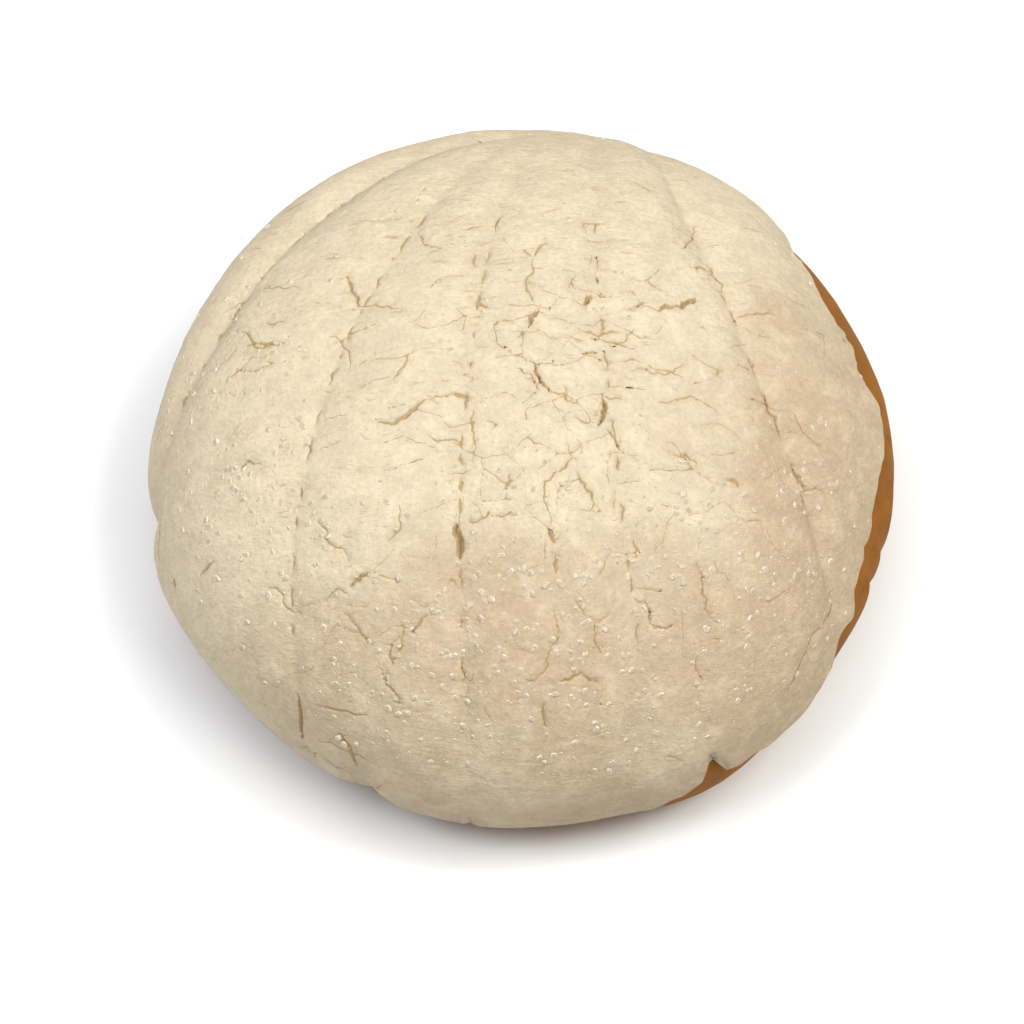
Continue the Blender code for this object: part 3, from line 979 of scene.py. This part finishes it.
def make_paste(settings):
    """The sugar paste: a closed cap, folded from a ball, with scored lines, tears and cracks."""
    random_source = random.Random(settings.seed)
    cracks = make_tears(random_source) + make_slits(random_source)
    net = PlateNet(random_source)
    mesh = ball_with_equator()

    def near_features(crack_gap, score_gap, rim_share):
        def wanted(middles):
            chosen = np.zeros(len(middles), dtype=bool)
            outer = np.flatnonzero(middles[:, 2] > 1e-4)
            azimuth, latitude, share = paste_places(middles[outer])
            foot = bread_points(azimuth, latitude)
            near = (measure_openings(foot, cracks, net)[0] < crack_gap) & (share < INLAND_SHARE)
            if score_gap:
                near |= score_relief(plan_of(foot))[1] < score_gap
            chosen[outer] = near | (share > rim_share)
            return chosen
        return wanted

    for height in (-0.05, -0.02):
        refine(mesh, lambda middles: middles[:, 2] > height)
    refine(mesh, near_features(crack_gap=0.60 * MM, score_gap=1.2 * MM, rim_share=INLAND_SHARE))
    refine(mesh, near_features(crack_gap=0.22 * MM, score_gap=0.0, rim_share=math.inf))

    directions = ball_places(mesh)
    outer = directions[:, 2] >= -1e-6
    azimuth, latitude, share = paste_places(directions)
    foot = bread_points(azimuth, latitude)
    normal = bread_normals(azimuth, latitude)

    to_centre = measure_openings(foot, cracks, net)[3]
    pull = outer & (np.linalg.norm(to_centre, axis=1) < PULL_REACH) & (share < PULL_SHARE)
    foot = foot + np.where(pull[:, None], to_centre, 0.0)
    gap, half, depth, _ = measure_openings(foot, cracks, net)
    plan = plan_of(foot)
    inland = share < INLAND_SHARE
    gap = np.where(inland, gap, FAR)
    depth = np.where(inland, depth * (1.0 - 0.45 * steepness(plan)), 0.0)
    distance = np.maximum(gap + half, 0.0)

    to_rim = 1.0 - share
    score, line_gap = score_relief(plan)
    taper = smooth(to_rim / RIM_TAPER)
    thick = RIM_THICKNESS + (PASTE_THICKNESS - RIM_THICKNESS) * taper
    girth = (math.pi / 2 - rim_latitude(azimuth)) * BUN_RADIUS
    nose = np.clip(to_rim * girth / (thick / 2), 0.0, 1.0)
    round_off = np.sqrt(1.0 - (1.0 - nose) ** 2)
    puff = settings.puff_height * (1.0 - bell(line_gap, PUFF_REACH)) * taper
    score = score * smooth(to_rim / SCORE_TAPER)
    wall = np.clip(distance / np.maximum(half, WALL_HALF), 0.0, 1.0)
    sunk = depth * (1.0 - smooth((wall - WALL_FOOT) / (1.0 - WALL_FOOT))) * smooth(to_rim / CRACK_TAPER)
    lip = LIP_HEIGHT * bell(distance - LIP_DISTANCE, LIP_WIDTH) * (depth > LIP_FROM)
    uneven = layered_noise(foot, PASTE_UNEVENNESS) * (0.25 + 0.75 * taper)
    top = thick / 2 * (1.0 + round_off) + puff - score + uneven + lip - sunk
    lift = np.where(outer, top, thick / 2 * (1.0 - round_off) + PASTE_CLEARANCE)
    shape_ball(mesh, directions, foot + normal * lift[:, None], PASTE_DISC)

    core = np.clip(1.0 - distance / np.maximum(half, CORE_HALF), NO_CORE, 1.0)
    halo = (bell(distance, 0.6 * MM) + 0.7 * bell(line_gap, 1.2 * MM)).clip(0.0, 1.0)
    values = {
        "core": np.where(outer, core, NO_CORE),
        "halo": np.where(outer, halo, 0.0),
        # real baking, and painted shade over the front
        "baked": np.where(outer, baked_and_front_shade_share(plan, share), 1.0),
        "crowd": np.where(outer & inland, crack_crowd(plan), 0.0),
        "upright": crack_upright(plan),
    }
    piece = finish_piece("scored_paste", mesh, paste_material(settings), values)
    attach(piece, "root")
    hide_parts("sugar_paste")


# ---------------------------------------------------------------- sugar

SHAPE_COUNT = 9             # different grains
SUGAR_REACH = 58 * MM
STEEPEST_SUGARED = 0.2      # upright part of the normal below which no sugar stays
GRAIN_STRETCH = ((0.9, 1.15), (0.8, 1.0), (0.5, 0.75))

# Where the sugar lies thickest: place and spread in millimetres, seen from above, and weight
SUGAR_DRIFTS = (
    (16, -38, 12, 1.0), (29, -43, 11, 1.0), (-12, -40, 10, 0.8), (39, -27, 10, 0.8), (-47, -19, 8, 0.9),
    (-37, -24, 8, 0.9), (-52, 4, 8, 0.5), (5, -50, 12, 0.8), (-22, -46, 11, 0.6), (24, -24, 10, 0.5),
    (44, -12, 8, 0.4), (-44, 2, 12, 0.4), (2, -28, 10, 0.4), (-41, -15, 5, 1.0), (-33, -25, 5, 1.0),
    (-14, -39, 6, 1.0), (-44, 18, 10, 0.25),
)


def sugar_density(x, y):
    """How likely a grain is to lie at a place seen from above."""
    total = 0.05 + 0.22 * float(smooth((-y / MM - 2.0) / 22.0))
    for east, north, spread, weight in SUGAR_DRIFTS:
        away = math.hypot(x / MM - east, y / MM - north)
        total += weight * math.exp(-((away / spread) ** 2))
    return min(total, 1.0)


def crystal_shapes(random_source, count):
    """A few bevelled, skewed blocks to copy as grains, with 0 on their tops and 1 on their edges, where the
    painted highlight goes.
    """
    shapes = []
    for number in range(count):
        mesh = bmesh.new()
        bmesh.ops.create_cube(mesh, size=1.0)
        bmesh.ops.bevel(mesh, geom=mesh.edges[:], offset=0.24, affect="EDGES", segments=1, profile=0.5)
        bmesh.ops.triangulate(mesh, faces=mesh.faces[:])
        edge = [float(vert.co.z < 0.45) for vert in mesh.verts]
        lean = Matrix.Identity(3)
        for row in range(3):
            for column in range(3):
                lean[row][column] += random_source.uniform(-0.15, 0.15)
        for vert in mesh.verts:
            vert.co = lean @ vert.co + Vector([random_source.uniform(-0.05, 0.05) for _ in range(3)])
        shape = bpy.data.meshes.new(f"grain_{number}")
        mesh.to_mesh(shape)
        mesh.free()
        shapes.append((shape, edge))
    return shapes


def scatter_grains(name, count, sizes, sink, seed, material):
    """Joined grains of sugar, lying on the paste and partly sunk in it."""
    random_source = random.Random(seed)
    paste = bpy.data.objects["scored_paste"].data
    tree = BVHTree.FromPolygons(
        [vert.co[:] for vert in paste.vertices], [tuple(face.vertices) for face in paste.polygons]
    )
    shapes = crystal_shapes(random_source, SHAPE_COUNT)
    mesh = bmesh.new()
    edges = []
    placed = 0
    while placed < count:
        reach = SUGAR_REACH * math.sqrt(random_source.random())
        angle = random_source.uniform(-math.pi, math.pi)
        x, y = reach * math.cos(angle), reach * math.sin(angle)
        if random_source.random() > sugar_density(x, y):
            continue
        hit, normal, _, _ = tree.ray_cast(Vector((x, y, 1.0)), Vector((0, 0, -1)))
        if hit is None or normal.z < STEEPEST_SUGARED:
            continue
        size = random_source.uniform(*sizes)
        stretch = Vector([size * random_source.uniform(*span) for span in GRAIN_STRETCH])
        turn = normal.to_track_quat("Z", "Y").to_matrix().to_4x4()
        spin = Matrix.Rotation(random_source.uniform(0, math.tau), 4, "Z")
        lean = Matrix.Rotation(random_source.uniform(-0.25, 0.25), 4, "X")
        centre = hit + normal * stretch.z * (0.5 - sink * random_source.uniform(0.8, 1.3))
        matrix = Matrix.Translation(centre) @ turn @ spin @ lean @ Matrix.Diagonal((*stretch, 1.0))
        shape, edge = random_source.choice(shapes)
        shape.transform(matrix)
        mesh.from_mesh(shape)
        shape.transform(matrix.inverted())
        edges += edge
        placed += 1
    for shape, _ in shapes:
        bpy.data.meshes.remove(shape)
    bmesh.ops.recalc_face_normals(mesh, faces=mesh.faces[:])
    # The edge values mark where the painted highlight goes.
    piece = finish_piece(name, mesh, material, {"edge": edges})
    piece.data.shade_flat()
    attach(piece, "root")


# ---------------------------------------------------------------- stage

# Soft lights round the bun: azimuth and elevation in degrees, size in metres, power in watts, colour
STUDIO_LIGHTS = (
    ("overhead", 90, 88, 0.9, 6.6, (0.75, 0.89, 1.0)),
    ("right", 10, 65, 0.3, 3.5, (1.0, 0.97, 0.93)),
    ("low_right", 0, 50, 0.4, 4.2, (0.96, 1.0, 0.96)),
    ("front_right", 330, 60, 0.5, 5.1, (1.0, 0.92, 0.80)),
    ("left", 200, 60, 0.5, 6.5, (0.84, 0.92, 1.0)),
    ("low_left", 190, 40, 0.6, 1.6, (1.0, 0.87, 0.62)),
    ("back_left", 150, 65, 0.5, 2.1, (1.0, 0.80, 0.72)),
    ("back", 90, 40, 0.5, 1.6, (1.0, 0.72, 0.52)),
)
LIGHT_DISTANCE = 1.2
SENSOR_WIDTH = 36.0


def place_looking(thing, azimuth, elevation, distance, aim=(0.0, 0.0, 0.0)):
    """Put a light or camera at a distance from a point, in a direction in degrees, looking at it."""
    turn, rise = math.radians(azimuth), math.radians(elevation)
    direction = Vector((math.cos(rise) * math.cos(turn), math.cos(rise) * math.sin(turn), math.sin(rise)))
    thing.location = Vector(aim) + direction * distance
    thing.rotation_euler = direction.to_track_quat("Z", "Y").to_euler()
    bpy.context.scene.collection.objects.link(thing)


def add_light(name, azimuth, elevation, size, power, colour):
    """A round soft light that looks at the foot of the bun from a direction given in degrees."""
    light = bpy.data.lights.new(name, "AREA")
    light.shape = "DISK"
    light.size = size
    light.energy = power
    light.color = colour
    place_looking(bpy.data.objects.new(name, light), azimuth, elevation, LIGHT_DISTANCE)


def make_stage(settings):
    """Floor, lights and camera."""
    mesh = bmesh.new()
    bmesh.ops.create_circle(mesh, cap_ends=True, segments=96, radius=settings.floor_radius)
    data = bpy.data.meshes.new("floor")
    mesh.to_mesh(data)
    mesh.free()
    floor = bpy.data.objects.new("floor", data)
    data.materials.append(floor_material(settings))
    bpy.context.scene.collection.objects.link(floor)

    world = bpy.data.worlds.new("studio")
    world.use_nodes = True
    background = world.node_tree.nodes["Background"]
    background.inputs["Color"].default_value = (*settings.sky_colour, 1.0)
    background.inputs["Strength"].default_value = settings.sky_strength
    bpy.context.scene.world = world
    bpy.context.scene.view_settings.view_transform = "Standard"

    for name, azimuth, elevation, size, power, colour in STUDIO_LIGHTS:
        add_light(name, azimuth, elevation, size, power * settings.light_power, colour)

    camera_data = bpy.data.cameras.new("camera")
    camera_data.lens = settings.lens
    camera_data.sensor_width = SENSOR_WIDTH
    camera = bpy.data.objects.new("camera", camera_data)
    width = BOX_AT_LOAD[1][0] - BOX_AT_LOAD[0][0]
    distance = width / settings.frame_share * settings.lens / SENSOR_WIDTH
    place_looking(camera, -90.0, settings.camera_elevation, distance, settings.aim)
    bpy.context.scene.camera = camera


# ---------------------------------------------------------------- settings

def colour_property(name, description, default):
    """A colour that the sidebar shows as a swatch."""
    return FloatVectorProperty(
        name=name, description=description, subtype="COLOR", size=3, min=0.0, max=1.0, default=default
    )


class ConchaBreadSettings(bpy.types.PropertyGroup):
    """Sizes and colours of the bread."""

    crust_colour: colour_property("Crust", "Baked side of the bread", (0.244, 0.089, 0.0105))
    pale_colour: colour_property("Pale crust", "Less baked blotches", (0.305, 0.120, 0.0180))
    dark_colour: colour_property("Dark crust", "Underside and streaks", (0.140, 0.046, 0.006))
    wrinkle_height: FloatProperty(
        name="Wrinkles", description="Height of the crust's wrinkles", default=0.16 * MM, unit="LENGTH"
    )


class ConchaPasteSettings(bpy.types.PropertyGroup):
    """Sizes and colours of the sugar paste."""

    paste_colour: colour_property("Paste", "Main colour of the paste", (0.556, 0.465, 0.329))
    # This warm colour also serves as the painted shade over the front of the paste.
    warm_and_shade_colour: colour_property("Warm paste", "More baked patches", (0.437, 0.331, 0.216))
    pale_colour: colour_property("Pale paste", "Floury flecks", (0.590, 0.505, 0.375))
    crack_colour: colour_property("Cracks", "Inside of the cracks", (0.380, 0.262, 0.125))
    deep_colour: colour_property("Deep cracks", "Bottoms of the widest cracks", (0.270, 0.155, 0.055))
    puff_height: FloatProperty(
        name="Puff", description="How far the paste swells between scored lines", default=0.6 * MM,
        unit="LENGTH",
    )
    seed: IntProperty(name="Seed", description="Start of the random draws", default=11)


class ConchaSugarSettings(bpy.types.PropertyGroup):
    """Number and colours of the sugar grains."""

    crystal_colour: colour_property("Crystal", "Middle of the clear grains", (0.465, 0.380, 0.268))
    dull_colour: colour_property("Dull crystal", "Middle of the dull grains", (0.430, 0.350, 0.240))
    # Painted highlight on the grains' edges
    edge_highlight_colour: colour_property("Edge", "Bevelled edges of the grains", (0.635, 0.560, 0.445))
    crystals: IntProperty(name="Crystals", description="Coarse grains", default=720)
    grains: IntProperty(name="Grains", description="Fine grains", default=2600)


class ConchaStageSettings(bpy.types.PropertyGroup):
    """Floor, lights and camera."""

    floor_colour: colour_property("Floor", "Colour of the floor", (0.85, 0.85, 0.85))
    floor_radius: FloatProperty(name="Floor", description="Radius of the floor", default=3.0, unit="LENGTH")
    sky_colour: colour_property("Sky", "Colour of the surrounding light", (0.97, 0.985, 1.0))
    sky_strength: FloatProperty(name="Sky strength", description="Surrounding light", default=0.0)
    light_power: FloatProperty(name="Light power", description="Scale of every light's power", default=1.0)
    lens: FloatProperty(name="Lens", description="Focal length in millimetres", default=120.0)
    camera_elevation: FloatProperty(name="Elevation", description="Degrees above the floor", default=64.0)
    frame_share: FloatProperty(
        name="Frame share", description="Share of the picture's width that the bun takes", default=0.7322
    )
    aim: FloatVectorProperty(
        name="Aim", description="Point that the camera looks at", subtype="TRANSLATION", unit="LENGTH",
        default=(-1.83 * MM, -8.2 * MM, 20.0 * MM),
    )


# ---------------------------------------------------------------- operators

class CONCHA_OT_bread(bpy.types.Operator):
    """Model the baked bread in the place of the frame's bun"""

    bl_idname = "concha.bread"
    bl_label = "Bread"

    def execute(self, context):
        make_bread(context.scene.concha_bread)
        return {"FINISHED"}


class CONCHA_OT_paste(bpy.types.Operator):
    """Model the scored and cracked sugar paste"""

    bl_idname = "concha.paste"
    bl_label = "Sugar paste"

    def execute(self, context):
        make_paste(context.scene.concha_paste)
        return {"FINISHED"}


class CONCHA_OT_sugar(bpy.types.Operator):
    """Scatter coarse and fine grains of sugar on the paste"""

    bl_idname = "concha.sugar"
    bl_label = "Sugar grains"

    def execute(self, context):
        if "scored_paste" not in bpy.data.objects:
            raise RuntimeError("the sugar needs the paste to lie on")
        settings = context.scene.concha_sugar
        material = crystal_material(settings)
        for name, count, sizes, sink, seed in (
            ("coarse_sugar", settings.crystals, (0.42 * MM, 1.0 * MM), 0.62, 5),
            ("fine_sugar", settings.grains, (0.14 * MM, 0.30 * MM), 0.40, 6),
        ):
            scatter_grains(name, count, sizes, sink, seed, material)
        return {"FINISHED"}


class CONCHA_OT_stage(bpy.types.Operator):
    """Set out the floor, the lights and the camera"""

    bl_idname = "concha.stage"
    bl_label = "Stage"

    def execute(self, context):
        make_stage(context.scene.concha_stage)
        return {"FINISHED"}


class CONCHA_PT_sidebar(bpy.types.Panel):
    """The concha's settings and steps"""

    bl_label = "Concha"
    bl_idname = "CONCHA_PT_sidebar"
    bl_space_type = "VIEW_3D"
    bl_region_type = "UI"
    bl_category = "Concha"

    def draw(self, context):
        for name, _, operator in STEPS:
            box = self.layout.box()
            settings = getattr(context.scene, name)
            for label in settings.__annotations__:
                box.prop(settings, label)
            box.operator(operator.bl_idname)


STEPS = (
    ("concha_bread", ConchaBreadSettings, CONCHA_OT_bread),
    ("concha_paste", ConchaPasteSettings, CONCHA_OT_paste),
    ("concha_sugar", ConchaSugarSettings, CONCHA_OT_sugar),
    ("concha_stage", ConchaStageSettings, CONCHA_OT_stage),
)


def register():
    """Register the settings, the operators and the panel."""
    for name, group, operator in STEPS:
        bpy.utils.register_class(group)
        setattr(bpy.types.Scene, name, PointerProperty(type=group))
        bpy.utils.register_class(operator)
    bpy.utils.register_class(CONCHA_PT_sidebar)


def unregister():
    """Take them all away again."""
    bpy.utils.unregister_class(CONCHA_PT_sidebar)
    for name, group, operator in reversed(STEPS):
        bpy.utils.unregister_class(operator)
        delattr(bpy.types.Scene, name)
        bpy.utils.unregister_class(group)


def main():
    """Make every piece and the stage."""
    register()
    bpy.ops.concha.bread()
    bpy.ops.concha.paste()
    bpy.ops.concha.sugar()
    bpy.ops.concha.stage()


if __name__ == "__main__":
    main()
